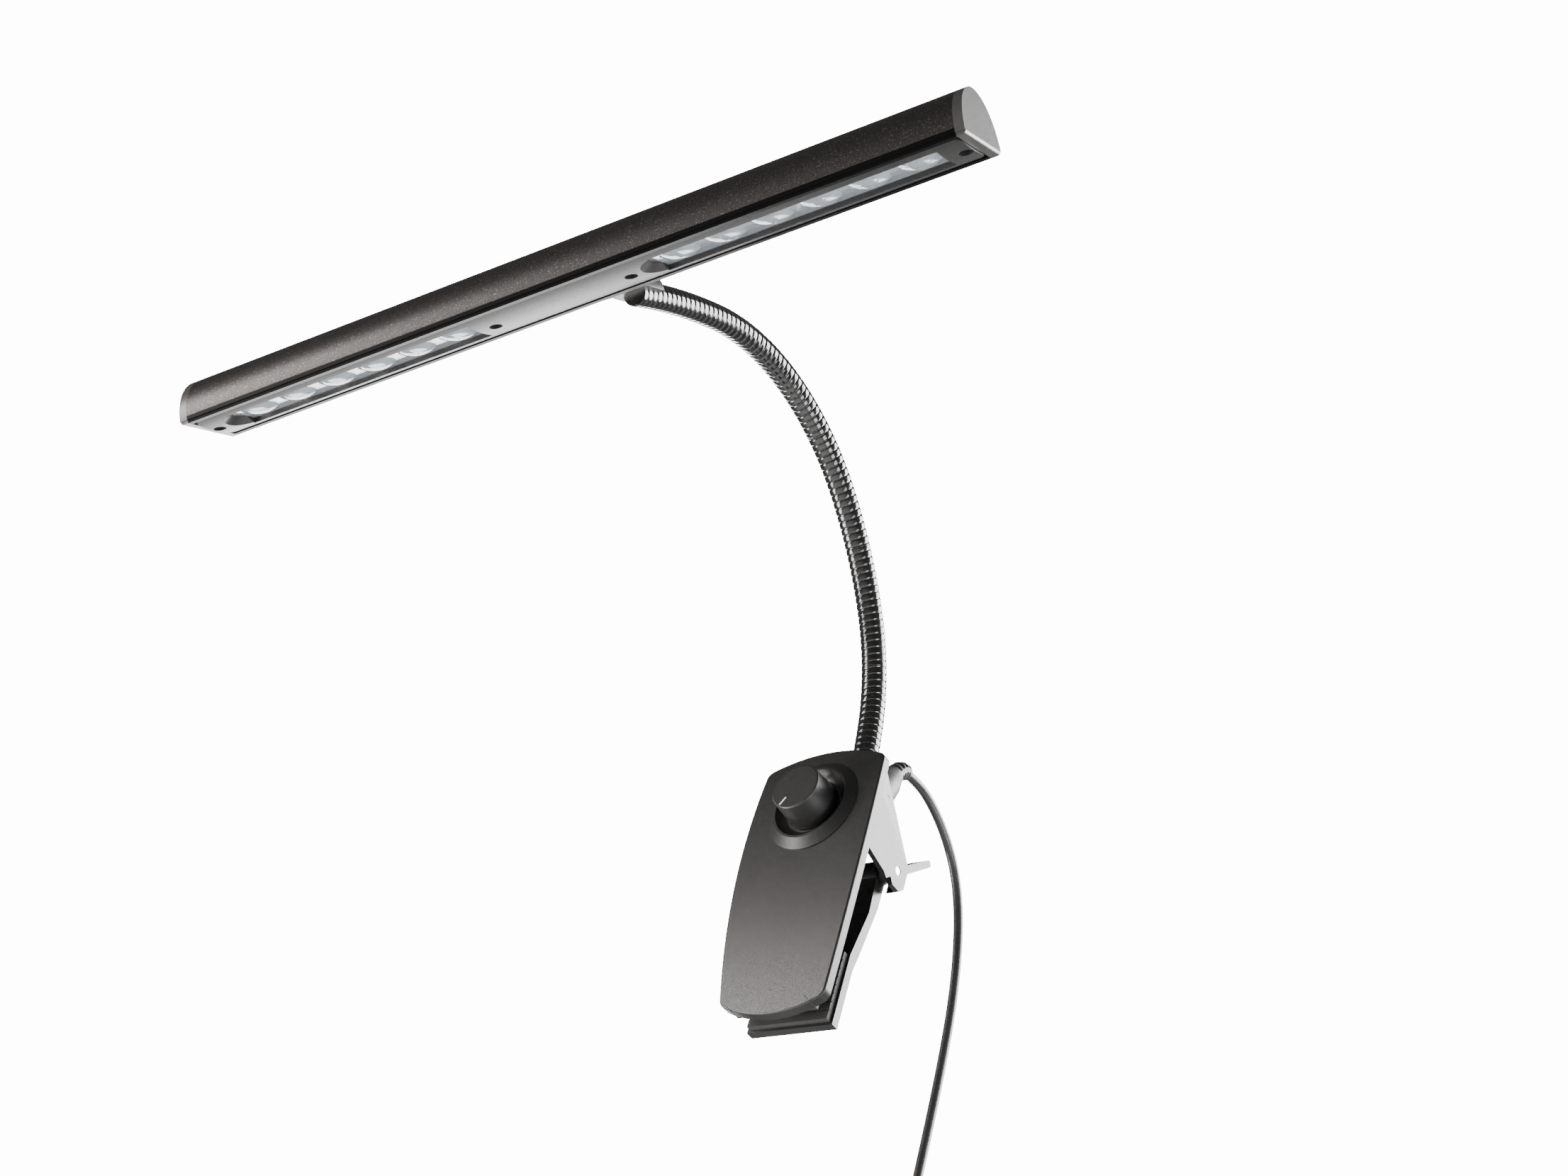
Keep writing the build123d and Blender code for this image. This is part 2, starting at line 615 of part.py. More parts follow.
def end_cap(side):
    """Domed plate that closes one end of the housing, with a spigot inside it."""
    cap = vn_prism(dome() + lip(), CAP_T, side * (SHELL_L + CAP_T) / 2)
    rim = cap.faces().sort_by(Axis.X)[-1 if side > 0 else 0].edges()
    cap = fillet(rim.sort_by(SortBy.LENGTH)[-1], 1.0)
    spigot_l = 3.0
    plug = dome(WALL + FIT, LEDGE_N + BAR_T + 0.2)
    return cap + vn_prism(plug, spigot_l, side * (SHELL_L - spigot_l) / 2)


def cover_section():
    """Section of the light cover: crowned below, flat above."""
    rise = COVER_HALF**2 / (2 * COVER_BOW_R)
    arc = ThreePointArc((-COVER_HALF, rise, 0), (0, 0, 0), (COVER_HALF, rise, 0))
    rest = Polyline(
        (COVER_HALF, rise, 0),
        (COVER_HALF, COVER_PLATE_T, 0),
        (-COVER_HALF, COVER_PLATE_T, 0),
        (-COVER_HALF, rise, 0),
    )
    return make_face([arc, *rest.edges()])


def window_centre(start):
    return start + CELLS * CELL_L / 2


def bottom_cover():
    """Long cover in the light face: rounded corners, two windows, scoops and four screw posts."""
    outline = RectangleRounded(COVER_L, 2 * COVER_HALF, COVER_CORNER_R)
    cover = vn_prism(cover_section(), COVER_L) & extrude(outline, amount=COVER_PLATE_T + 1)
    for start in WINDOW_STARTS:
        cover -= Pos(window_centre(start), 0, 0) * Box(CELLS * CELL_L, 2 * WINDOW_HALF, 12)
        scoop = Pos(start + 1.5, -0.4, 0.7) * Cone(7.6, 3.6, 2.8)
        cover -= scoop & (Pos(start - 9.9, 0, 0) * Box(20, 30, 12))
    post_top = LEDGE_N - 0.05
    post_foot = COVER_PLATE_T - 0.2
    seat = LENS_PLATE_T + COVER_PLATE_T
    for u in SCREW_AT:
        cover += Pos(u, 0, (post_foot + post_top) / 2) * Cylinder(POST_R, post_top - post_foot)
        cover -= Pos(u, 0, seat / 2 - 0.5) * Cylinder(SCREW_HEAD_R + FIT, seat + 1)
        cover -= Pos(u, 0, seat) * Cylinder(SCREW_R + FIT, 12)
    return cover


def cover_screws():
    """Four screws through the cover's posts into the light bar."""
    seat = LENS_PLATE_T + COVER_PLATE_T
    top = LEDGE_N + BAR_T
    screws = []
    for u in SCREW_AT:
        head = Pos(u, 0, seat - SCREW_HEAD_T / 2) * Cylinder(SCREW_HEAD_R, SCREW_HEAD_T)
        shank = Pos(u, 0, (seat + top) / 2) * Cylinder(SCREW_R, top - seat)
        drive = Pos(u, 0, seat - SCREW_HEAD_T) * (Box(2.4, 0.5, 1.2) + Box(0.5, 2.4, 1.2))
        screws.append(head + shank - drive)
    return screws


def light_bar():
    """Aluminium bar on the housing's ledges that the light boards and the screws fix to."""
    bar = Pos(0, 0, LEDGE_N + BAR_T / 2) * Box(COVER_L, 2 * BAR_HALF, BAR_T)
    for u in SCREW_AT:
        bar -= Pos(u, 0, LEDGE_N) * Cylinder(SCREW_R, 8)
    return bar


def lens_strip(start):
    """Clear strip of dome lenses behind one window."""
    top = COVER_PLATE_T + LENS_PLATE_T
    length, width = CELLS * CELL_L + 1.2, 2 * WINDOW_HALF + 1.6
    middle = COVER_PLATE_T + LENS_PLATE_T / 2
    strip = Pos(window_centre(start), 0, middle) * Box(length, width, LENS_PLATE_T)
    for k in range(CELLS):
        u = start + (k + 0.5) * CELL_L
        ball = Pos(u, 0, LENS_LOW + LENS_R) * Sphere(LENS_R)
        strip += ball & (Pos(u, 0, top / 2) * Box(CELL_L - 0.3, 2 * WINDOW_HALF - 0.4, top))
    return strip


def led_board(start):
    length = CELLS * CELL_L
    return Pos(window_centre(start), 0, LEDGE_N - BOARD_T / 2) * Box(length, 2 * LIGHT_BOARD_HALF, BOARD_T)


def leds(start):
    n = LEDGE_N - BOARD_T - LED_T / 2
    return [Pos(start + (k + 0.5) * CELL_L, 0, n) * Box(LED_L, LED_W, LED_T) for k in range(CELLS)]


# ---------------------------------------------------------------- head bracket
def neck_end():
    """Where the gooseneck ends, and its direction there, in the head's frame."""
    end, tilt = STATIONS[-1]
    tip = HEAD.to_local_coords(Vector(*end))
    far = HEAD.to_local_coords(Vector(*end) + Vector(*neck_tangent(tilt)))
    return tip, (far - tip).normalized()


def head_bracket():
    """Fairing on the head's rear edge, with a flat foot for two screws and a socket for the neck."""
    tip, t = neck_end()
    u0 = tip.X
    plan = Polyline(
        (u0 - BRACKET_L + 4, DOME_HALF - 3, 0),
        (u0 + 5.5, DOME_HALF - 3, 0),
        (u0 + 5.5, BRACKET_OUT + 1, 0),
        (u0 - 3, BRACKET_OUT + 1, 0),
        (u0 - 8, BRACKET_OUT - 0.4, 0),
        (u0 - BRACKET_L + 7, DOME_HALF + 1.6, 0),
        close=True,
    )
    foot = Pos(0, 0, BRACKET_LOW) * extrude(make_face(plan), amount=BRACKET_HIGH - BRACKET_LOW)
    foot = fillet(foot.edges().filter_by(Axis.Z).sort_by(Axis.Y)[2:], 2.0)
    foot = fillet(foot.faces().sort_by(Axis.Z)[-1].edges().sort_by(Axis.Y)[-3:], 1.2)
    socket = rod(tuple(tip - t * BRACKET_SOCKET_L), tuple(t), BRACKET_SOCKET_L + 3, BRACKET_SOCKET_R)
    socket = fillet(socket.edges().filter_by(GeomType.CIRCLE), 0.8)
    body = foot + socket - vn_prism(dome() + lip(), HEAD_L)
    for u in BRACKET_SCREW_U:
        body -= Pos(u, BRACKET_SCREW_V, BRACKET_LOW) * Cylinder(BRACKET_SCREW_R, 1.6)
    below = Pos(0, 0, BRACKET_LOW - 20) * Box(200, 80, 40)
    return HEAD * (body - below) - neck_tube(len(NECK_TURNS) - 1, NECK_R)


def bracket_screws():
    screws = []
    for u in BRACKET_SCREW_U:
        head = Pos(u, BRACKET_SCREW_V, BRACKET_LOW + 0.45) * Cylinder(BRACKET_SCREW_R, 0.7)
        drive = Pos(u, BRACKET_SCREW_V, BRACKET_LOW) * (Box(1.8, 0.4, 0.8) + Box(0.4, 1.8, 0.8))
        screws.append(head - drive)
    return screws


# ---------------------------------------------------------------- cord
def boot_spigot():
    """Part of the strain relief that sits in its hole through the roof."""
    rise = radians(BOOT_RISE)
    length = 3.5
    start = Vector(BOOT_X, BOOT_ROOT_Y, roof_z(BOOT_ROOT_Y)) - Vector(0, cos(rise), sin(rise)) * length
    return rod(tuple(start), (0, cos(rise), sin(rise)), length + 2, BOOT_SPIGOT_R)


def boot_path():
    """Centre line of the strain relief: up from the roof, then over to the rear."""
    rise = radians(BOOT_RISE)
    turn = radians(BOOT_TURN)
    root = Vector(BOOT_X, BOOT_ROOT_Y, roof_z(BOOT_ROOT_Y))
    knee = root + Vector(0, cos(rise), sin(rise)) * BOOT_STRAIGHT
    mid_way, end_way = rise - turn / 4, rise - turn / 2
    mid = knee + Vector(0, cos(mid_way), sin(mid_way)) * (2 * BOOT_BEND_R * sin(turn / 4))
    end = knee + Vector(0, cos(end_way), sin(end_way)) * (2 * BOOT_BEND_R * sin(turn / 2))
    return root, knee, mid, end


def cable_boot():
    """Strain relief: a wide cone on the roof, a ribbed sleeve that bends to the rear, and a spigot."""
    root, knee, mid, end = boot_path()
    rise = radians(BOOT_RISE)
    up = (0, cos(rise), sin(rise))
    below = 8.0
    grow = (BOOT_BASE_R - BOOT_TOP_R) / BOOT_STRAIGHT * below
    start = root - Vector(*up) * below
    cone = rod(tuple(start), up, BOOT_STRAIGHT + below, BOOT_BASE_R + grow, BOOT_TOP_R)
    above_roof = Plane(origin=tuple(root), z_dir=(0, sin(radians(ROOF_SLOPE)), cos(radians(ROOF_SLOPE))))
    cone &= extrude(above_roof * Rectangle(80, 80), amount=60)
    path = ThreePointArc(tuple(knee), tuple(mid), tuple(end))
    sleeve = sweep(Plane(origin=tuple(knee), z_dir=up) * Circle(BOOT_TOP_R), path=path)
    spigot = boot_spigot()
    return cone - bowed_slab(-10, COVER_T + BACK_T) - socket_boss() + sleeve + spigot


def cord_points():
    """The cord's route: out of the boot, along the chosen points, down to the coil."""
    return [tuple(boot_path()[3])] + CORD_ROUTE


def corner_radii(points):
    """Radius of the tangent arc at each corner of a route."""
    radii = []
    for a, b, c in zip(points, points[1:], points[2:]):
        before, after = Vector(*b) - Vector(*a), Vector(*c) - Vector(*b)
        half_turn = radians(before.get_angle(after)) / 2
        radii.append(0.45 * min(before.length, after.length) * cos(half_turn) / sin(half_turn))
    return radii


def power_cord():
    points = cord_points()
    radii = corner_radii(points)
    path = FilletPolyline(*points, radius=radii)
    start = path @ 0
    tube = sweep(Plane(origin=start, z_dir=path % 0) * Circle(CORD_R), path=path)
    print("cord arc radii", [round(r, 1) for r in radii])
    print("cord length", round(path.length, 1))
    print("volume ratio", round(tube.volume / (pi * CORD_R**2 * path.length), 4))
    print("put away", round(CORD_LENGTH - path.length, 1), "in turns", round(coil_turns(), 2))
    return tube


def coil_outer():
    return COIL_R + COIL_LAYERS * CORD_R


def coil_inner():
    return COIL_R - COIL_LAYERS * CORD_R


def coil_centre():
    """The cord runs into the coil's outermost turn at its right side, in its front row."""
    x, y, _ = CORD_ROUTE[-1]
    return (x - coil_outer() + CORD_R, y + (COIL_ROWS - 1) * CORD_R, COIL_Z)


def coil_turns():
    free = sum((Vector(*b) - Vector(*a)).length for a, b in zip(cord_points(), CORD_ROUTE))
    return (CORD_LENGTH - free - TAIL_GAP - coil_outer()) / (2 * pi * COIL_R)


def coil_solid():
    x, y, z = coil_centre()
    depth = 2 * COIL_ROWS * CORD_R
    ring = rod((x, y - depth / 2, z), (0, 1, 0), depth, coil_outer())
    ring = fillet(ring.edges().filter_by(GeomType.CIRCLE), CORD_R)
    return ring - rod((x, y - depth, z), (0, 1, 0), 2 * depth, coil_inner())


def cord_ties():
    """Two straps round the coil, on its left and at its foot."""
    x, y, z = coil_centre()
    wide = coil_outer() - coil_inner() + 0.6
    deep = 2 * COIL_ROWS * CORD_R + 0.6
    outer = Box(wide + 2 * TIE_T, deep + 2 * TIE_T, TIE_W)
    strap = fillet(outer.edges().filter_by(Axis.Z), 2.0) - Box(wide, deep, TIE_W + 2)
    middle = (coil_outer() + coil_inner()) / 2
    return [
        Pos(x - middle, y, z) * strap - coil_solid(),
        Pos(x, y, z - middle) * Rot(0, 90, 0) * strap - coil_solid(),
    ]


def plug_boot_top():
    """The tail leaves the coil's outermost turn at its right side, in its rear row."""
    x, y, _ = CORD_ROUTE[-1]
    return (x, y + 2 * (COIL_ROWS - 1) * CORD_R, COIL_Z - coil_outer() - TAIL_GAP)


def cord_tail():
    x, y, z = plug_boot_top()
    return rod((x, y, z), (0, 0, 1), COIL_Z - CORD_OVERLAP - z, CORD_R)


def plug_boot():
    x, y, z = plug_boot_top()
    return rod((x, y, z - PLUG_BOOT_L), (0, 0, 1), PLUG_BOOT_L, 4.4, 2.3)


def power_supply():
    x, y, z = plug_boot_top()
    body = Pos(x, y, z - PLUG_BOOT_L - PLUG_Z / 2) * Box(PLUG_X, PLUG_Y, PLUG_Z)
    return fillet(body.edges(), PLUG_ROUND)


def supply_pins():
    x, y, z = plug_boot_top()
    pins = []
    for side in (-1, 1):
        start = (x + side * PIN_SPACING / 2, y + PLUG_Y / 2, z - PLUG_BOOT_L - PLUG_Z * 0.62)
        pin = rod(start, (0, 1, 0), PIN_LEN, PIN_R_PLUG)
        pins.append(fillet(pin.faces().sort_by(Axis.Y)[-1].edges(), 0.9))
    return pins


# ---------------------------------------------------------------- write every node
save("front_cover", front_cover())
save("clip_back", clip_back())
save("clip_screws", *clip_screws())
save("knob_bezel", knob_bezel())
save("dimmer_knob", dimmer_knob())
save("knob_mark", knob_mark())
save("potentiometer", potentiometer())
save("pot_shaft", pot_shaft())
save("pot_nut", pot_nut())
save("dimmer_board", dimmer_board())
save("front_pad", front_pad())
save("jaw_lever", jaw_lever())
save("rear_pad", rear_pad())
save("hinge_pin", hinge_pin())
save("torsion_spring", torsion_spring())
save("neck_socket", neck_socket())
for number in range(len(NECK_TURNS)):
    save(f"neck_link_{number + 1}", neck_link(number))

save("lamp_housing", HEAD * lamp_housing())
save("end_cap_left", HEAD * end_cap(-1))
save("end_cap_right", HEAD * end_cap(1))
save("bottom_cover", HEAD * bottom_cover())
save("cover_screws", *[HEAD * screw for screw in cover_screws()])
save("light_bar", HEAD * light_bar())
for side_name, window_start in zip(("left", "right"), WINDOW_STARTS):
    save(f"lens_strip_{side_name}", HEAD * lens_strip(window_start))
    save(f"led_board_{side_name}", HEAD * led_board(window_start))
    save(f"leds_{side_name}", *[HEAD * led for led in leds(window_start)])
save("head_bracket", head_bracket())
save("bracket_screws", *[HEAD * screw for screw in bracket_screws()])

save("cable_boot", cable_boot())
save("power_cord", power_cord())
save("cord_coil", coil_solid())
save("cord_ties", *cord_ties())
save("cord_tail", cord_tail())
save("plug_boot", plug_boot())
save("power_supply", power_supply())
save("supply_pins", *supply_pins())
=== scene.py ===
import math

import bpy
from mathutils import Matrix, Vector


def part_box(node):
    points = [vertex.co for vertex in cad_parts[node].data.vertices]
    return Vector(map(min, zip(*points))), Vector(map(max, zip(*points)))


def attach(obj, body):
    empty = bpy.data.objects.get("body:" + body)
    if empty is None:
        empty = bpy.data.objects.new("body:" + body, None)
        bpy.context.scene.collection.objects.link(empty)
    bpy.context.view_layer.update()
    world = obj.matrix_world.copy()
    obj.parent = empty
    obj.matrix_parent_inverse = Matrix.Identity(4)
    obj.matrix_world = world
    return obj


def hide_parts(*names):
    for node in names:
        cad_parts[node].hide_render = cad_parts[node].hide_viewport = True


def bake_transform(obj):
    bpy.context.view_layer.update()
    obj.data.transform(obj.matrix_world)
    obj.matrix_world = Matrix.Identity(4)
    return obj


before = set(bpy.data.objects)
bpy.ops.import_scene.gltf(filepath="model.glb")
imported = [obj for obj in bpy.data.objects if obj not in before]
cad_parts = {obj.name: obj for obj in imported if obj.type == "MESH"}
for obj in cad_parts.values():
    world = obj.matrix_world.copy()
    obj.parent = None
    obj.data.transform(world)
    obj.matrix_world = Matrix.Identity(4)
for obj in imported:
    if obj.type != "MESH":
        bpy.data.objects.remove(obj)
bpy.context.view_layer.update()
MM = 0.001

# the lamp head: middle of its lower face, direction of the shade's crown, height of its lip
HEAD_CENTRE = (-0.0075, -0.1754, 0.1297)
HEAD_UP = (-0.074, -0.589, 0.805)
LIP_H = 3.1 * MM
SHADE_FOOT = Vector(HEAD_CENTRE) + LIP_H * Vector(HEAD_UP)

# ---------------------------------------------------------------- camera
LENS_MM = 55.7
SENSOR_MM = 36.0
CAMERA_AT = (0.431885, -0.498655, -0.369725)
CAMERA_RIGHT = (0.8141, 0.5287, 0.2404)
CAMERA_UP = (0.1902, -0.6336, 0.75)
CAMERA_NEAR = 0.01


def add_camera():
    data = bpy.data.cameras.new("camera")
    data.lens = LENS_MM
    data.sensor_width = SENSOR_MM
    data.sensor_fit = "HORIZONTAL"
    data.clip_start = CAMERA_NEAR
    camera = bpy.data.objects.new("camera", data)
    bpy.context.scene.collection.objects.link(camera)
    right = Vector(CAMERA_RIGHT).normalized()
    up = Vector(CAMERA_UP)
    up = (up - up.dot(right) * right).normalized()
    back = right.cross(up)
    turn = Matrix((right, up, back)).transposed().to_4x4()
    camera.matrix_world = Matrix.Translation(CAMERA_AT) @ turn
    bpy.context.scene.camera = camera


# ---------------------------------------------------------------- cord
CORD_D = 3.2 * MM
# straight out of the boot, over to the rear and down behind the edge that the clip grips
CORD_ROUTE = [
    (0.0155, 0.0115142, 0.0855718),
    (0.0155, 0.0196, 0.0870),
    (0.0156, 0.0295, 0.0849),
    (0.0157, 0.0395, 0.0802),
    (0.0158, 0.0485, 0.0728),
    (0.0159, 0.0555, 0.0620),
    (0.0160, 0.0605, 0.0475),
    (0.01615, 0.0638, 0.0300),
    (0.01625, 0.0654, 0.0090),
    (0.0163, 0.0661, -0.0140),
    (0.0163, 0.0664, -0.0380),
    (0.0163, 0.0663, -0.0600),
]
COIL_Z = -0.066
COIL_OUT = 24.0 * MM
COIL_IN = 12.8 * MM
COIL_ROWS = 4
TURNS_PER_ROW = 3.5
STEPS_PER_TURN = 16
ROW_CHANGE = 0.125      # turns in which one row steps over to the next
TAIL_MID = 0.013        # from the coil's middle height down to the tail's middle point


def coil_points():
    """Turns of the coil: each row winds in or out, then steps one cord to the rear."""
    x, y, _ = CORD_ROUTE[-1]
    centre_x = x - COIL_OUT
    steps = int(TURNS_PER_ROW * STEPS_PER_TURN)
    points = []
    for row in range(COIL_ROWS):
        for step in range(steps):
            part = step / steps
            wind = min(1.0, part / (1 - ROW_CHANGE / TURNS_PER_ROW))
            shift = max(0.0, (part * TURNS_PER_ROW - TURNS_PER_ROW + ROW_CHANGE) / ROW_CHANGE)
            inward = wind if row % 2 == 0 else 1 - wind
            radius = COIL_OUT + (COIL_IN - COIL_OUT) * inward
            angle = 2 * math.pi * TURNS_PER_ROW * (row + part)
            depth = y + CORD_D * (row + shift * (row < COIL_ROWS - 1))
            points.append((centre_x + radius * math.cos(angle), depth, COIL_Z - radius * math.sin(angle)))
    return points


def nurbs_curve(name, points, bevel):
    data = bpy.data.curves.new(name, "CURVE")
    data.dimensions = "3D"
    data.bevel_depth = bevel
    data.bevel_resolution = 6
    data.resolution_u = 6
    spline = data.splines.new("NURBS")
    spline.points.add(len(points) - 1)
    for target, point in zip(spline.points, points):
        target.co = (*point, 1.0)
    spline.order_u = 3
    spline.use_endpoint_u = True
    curve = bpy.data.objects.new(name, data)
    bpy.context.scene.collection.objects.link(curve)
    return curve


def add_cord(skin):
    x, y, _ = CORD_ROUTE[-1]
    rear = y + (COIL_ROWS - 1) * CORD_D
    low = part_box("plug_boot")[1][2]
    tail = [(x, rear, COIL_Z), (x, rear, COIL_Z - TAIL_MID), (x, rear, low)]
    curve = nurbs_curve("cord", CORD_ROUTE + coil_points() + tail, CORD_D / 2)
    curve.data.materials.append(skin)
    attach(curve, "clip")
    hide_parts("power_cord", "cord_coil", "cord_tail")


# ---------------------------------------------------------------- materials
COAT_ROUGHNESS = 0.08
NOISE_ROUGHNESS = 0.55
TONE_SCALE = 60         # slow changes of tone over a moulded surface
GRAIN_DEPTH = 0.00004
GLOSS_SPREAD = 0.06     # roughness varies by this much both ways


def base_material(name, color, roughness, metallic=0.0, coat=0.0):
    material = bpy.data.materials.new(name)
    material.use_nodes = True
    shader = material.node_tree.nodes["Principled BSDF"]
    shader.inputs["Base Color"].default_value = (*color, 1.0)
    shader.inputs["Roughness"].default_value = roughness
    shader.inputs["Metallic"].default_value = metallic
    shader.inputs["Coat Weight"].default_value = coat
    shader.inputs["Coat Roughness"].default_value = COAT_ROUGHNESS
    shader.inputs["Specular IOR Level"].default_value = 0.5
    return material, shader


def noise(tree, scale, detail=3.0):
    place = tree.nodes.new("ShaderNodeTexCoord")
    texture = tree.nodes.new("ShaderNodeTexNoise")
    texture.inputs["Scale"].default_value = scale
    texture.inputs["Detail"].default_value = detail
    texture.inputs["Roughness"].default_value = NOISE_ROUGHNESS
    tree.links.new(place.outputs["Object"], texture.inputs["Vector"])
    return texture


def ramp(tree, source, stops):
    """A colour ramp from (position, colour) stops, fed by a noise value."""
    node = tree.nodes.new("ShaderNodeValToRGB")
    node.color_ramp.elements[0].position = stops[0][0]
    node.color_ramp.elements[0].color = (*stops[0][1], 1.0)
    node.color_ramp.elements[1].position = stops[-1][0]
    node.color_ramp.elements[1].color = (*stops[-1][1], 1.0)
    for position, color in stops[1:-1]:
        element = node.color_ramp.elements.new(position)
        element.color = (*color, 1.0)
    tree.links.new(source, node.inputs["Fac"])
    return node


def bump(tree, shader, height, strength, distance):
    node = tree.nodes.new("ShaderNodeBump")
    node.inputs["Strength"].default_value = strength
    node.inputs["Distance"].default_value = distance
    tree.links.new(height, node.inputs["Height"])
    tree.links.new(node.outputs["Normal"], shader.inputs["Normal"])


def gray(value, warm=0.0):
    return (value * (1 + warm), value, value * (1 - warm))


def grained(name, dark, light, roughness, grain=2600, strength=0.35, warm=0.02, coat=0.0):
    """Moulded or powder-coated surface: fine grain in the bump, small changes of tone and gloss."""
    material, shader = base_material(name, gray((dark + light) / 2, warm), roughness, coat=coat)
    tree = material.node_tree
    slow = noise(tree, TONE_SCALE)
    tone = ramp(tree, slow.outputs["Fac"], [(0.3, gray(dark, warm)), (0.7, gray(light, warm))])
    tree.links.new(tone.outputs["Color"], shader.inputs["Base Color"])
    fine = noise(tree, grain, 2.0)
    low, high = roughness - GLOSS_SPREAD, roughness + GLOSS_SPREAD
    gloss = ramp(tree, fine.outputs["Fac"], [(0.35, (low, low, low)), (0.65, (high, high, high))])
    tree.links.new(gloss.outputs["Color"], shader.inputs["Roughness"])
    bump(tree, shader, fine.outputs["Fac"], strength, GRAIN_DEPTH)
    return material


def sparkle(name):
    """Black anodised shade with fine bright specks."""
    material, shader = base_material(name, gray(0.03), 0.38, metallic=0.7)
    tree = material.node_tree
    fine = noise(tree, 2200, 2.0)
    specks = [(0.4, gray(0.026, 0.06)), (0.62, gray(0.045, 0.06)), (0.75, gray(0.16, 0.05))]
    tone = ramp(tree, fine.outputs["Fac"], specks)
    tree.links.new(tone.outputs["Color"], shader.inputs["Base Color"])
    bump(tree, shader, fine.outputs["Fac"], 0.3, 0.00003)
    return material


# the shade's skirt: what each socket is below the lip
POLISHED = (
    ("Base Color", gray(0.004)),
    ("Roughness", gray(0.3)),
    ("Metallic", gray(0.0)),
    ("Specular IOR Level", gray(0.04)),
)
# a Mix node lists its colour sockets after those of the other data types
MIX_A = 6
MIX_B = 7
MIX_RESULT = 2


def polished_below(material, node, point, normal):
    """Turns the finish black and even on the side of a plane away from its normal."""
    tree = material.node_tree
    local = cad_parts[node].matrix_world.inverted()
    origin = local @ Vector(point)
    facing = (local.to_3x3() @ Vector(normal)).normalized()
    place = tree.nodes.new("ShaderNodeTexCoord")
    height = tree.nodes.new("ShaderNodeVectorMath")
    height.operation = "DOT_PRODUCT"
    height.inputs[1].default_value = facing
    tree.links.new(place.outputs["Object"], height.inputs[0])
    above = tree.nodes.new("ShaderNodeMath")
    above.operation = "GREATER_THAN"
    above.inputs[1].default_value = origin.dot(facing)
    tree.links.new(height.outputs["Value"], above.inputs[0])
    shader = tree.nodes["Principled BSDF"]
    for socket, polished in POLISHED:
        mix = tree.nodes.new("ShaderNodeMix")
        mix.data_type = "RGBA"
        tree.links.new(above.outputs["Value"], mix.inputs["Factor"])
        mix.inputs[MIX_A].default_value = (*polished, 1.0)
        if shader.inputs[socket].is_linked:
            tree.links.new(shader.inputs[socket].links[0].from_socket, mix.inputs[MIX_B])
        else:
            kept = shader.inputs[socket].default_value
            mix.inputs[MIX_B].default_value = (kept, kept, kept, 1.0)
        tree.links.new(mix.outputs[MIX_RESULT], shader.inputs[socket])


def clear_plastic(name):
    material, shader = base_material(name, (0.85, 0.92, 0.98), 0.04)
    shader.inputs["Transmission Weight"].default_value = 0.82
    shader.inputs["IOR"].default_value = 1.49
    tree = material.node_tree
    soft = noise(tree, 90)
    bump(tree, shader, soft.outputs["Fac"], 0.05, 0.0002)
    return material


def metal(name, color, roughness):
    material, shader = base_material(name, color, roughness, metallic=1.0)
    tree = material.node_tree
    fine = noise(tree, 1500)
    low, high = roughness * 0.8, roughness * 1.25
    gloss = ramp(tree, fine.outputs["Fac"], [(0.3, (low, low, low)), (0.7, (high, high, high))])
    tree.links.new(gloss.outputs["Color"], shader.inputs["Roughness"])
    bump(tree, shader, fine.outputs["Fac"], 0.1, 0.00002)
    return material


def paint_nodes(material, *names):
    for name in names:
        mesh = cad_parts[name].data
        mesh.materials.clear()
        mesh.materials.append(material)


# ---------------------------------------------------------------- gooseneck
NECK_X = 4.0 * MM
NECK_R = 4.25 * MM
NECK_START = (3.9 * MM, 58.0 * MM)
NECK_TILT = -2.2
LINK_L = 41.9 * MM
LINK_TURNS = (12.2, 28.2, 19.0, 29.6, 32.7, 11.5)
WIRE_PITCH = 2.4 * MM
WIRE_DEPTH = 0.5 * MM
STEPS_PER_PITCH = 12
NECK_SIDES = 36


def neck_at(s):
    """Point and tilt, in degrees, of the neck's centre line at arc length s."""
    y, z = NECK_START
    tilt = NECK_TILT
    for turn in LINK_TURNS:
        step = min(s, LINK_L)
        radius = LINK_L / math.radians(turn)
        part = turn * step / LINK_L
        chord = 2 * radius * math.sin(math.radians(part) / 2)
        middle = math.radians(tilt + part / 2)
        y -= chord * math.sin(middle)
        z += chord * math.cos(middle)
        tilt += part
        s -= step
        if s <= 0:
            break
    return Vector((NECK_X, y, z)), tilt


def grid_mesh(name, rings):
    """A tube through rings of points, each ring closed on itself, with both ends closed."""
    mesh = bpy.data.meshes.new(name)
    sides = len(rings[0])
    verts = [point for ring in rings for point in ring]
    faces = []
    for i in range(len(rings) - 1):
        for j in range(sides):
            k = (j + 1) % sides
            faces.append((i * sides + j, i * sides + k, (i + 1) * sides + k, (i + 1) * sides + j))
    faces.append(tuple(reversed(range(sides))))
    last = (len(rings) - 1) * sides
    faces.append(tuple(range(last, last + sides)))
    mesh.from_pydata([tuple(v) for v in verts], [], faces)
    mesh.polygons.foreach_set("use_smooth", [len(p.vertices) == 4 for p in mesh.polygons])
    mesh.update()
    built = bpy.data.objects.new(name, mesh)
    bpy.context.scene.collection.objects.link(built)
    return built


def wire_radius(s, side_angle):
    """Radius of the spiral: a flat-crowned strip with a thin groove between its turns."""
    phase = (s / WIRE_PITCH - side_angle / (2 * math.pi)) % 1.0
    across = abs(2 * phase - 1)
    return NECK_R - WIRE_DEPTH * (0.1 * across**2 + 0.9 * across**10)


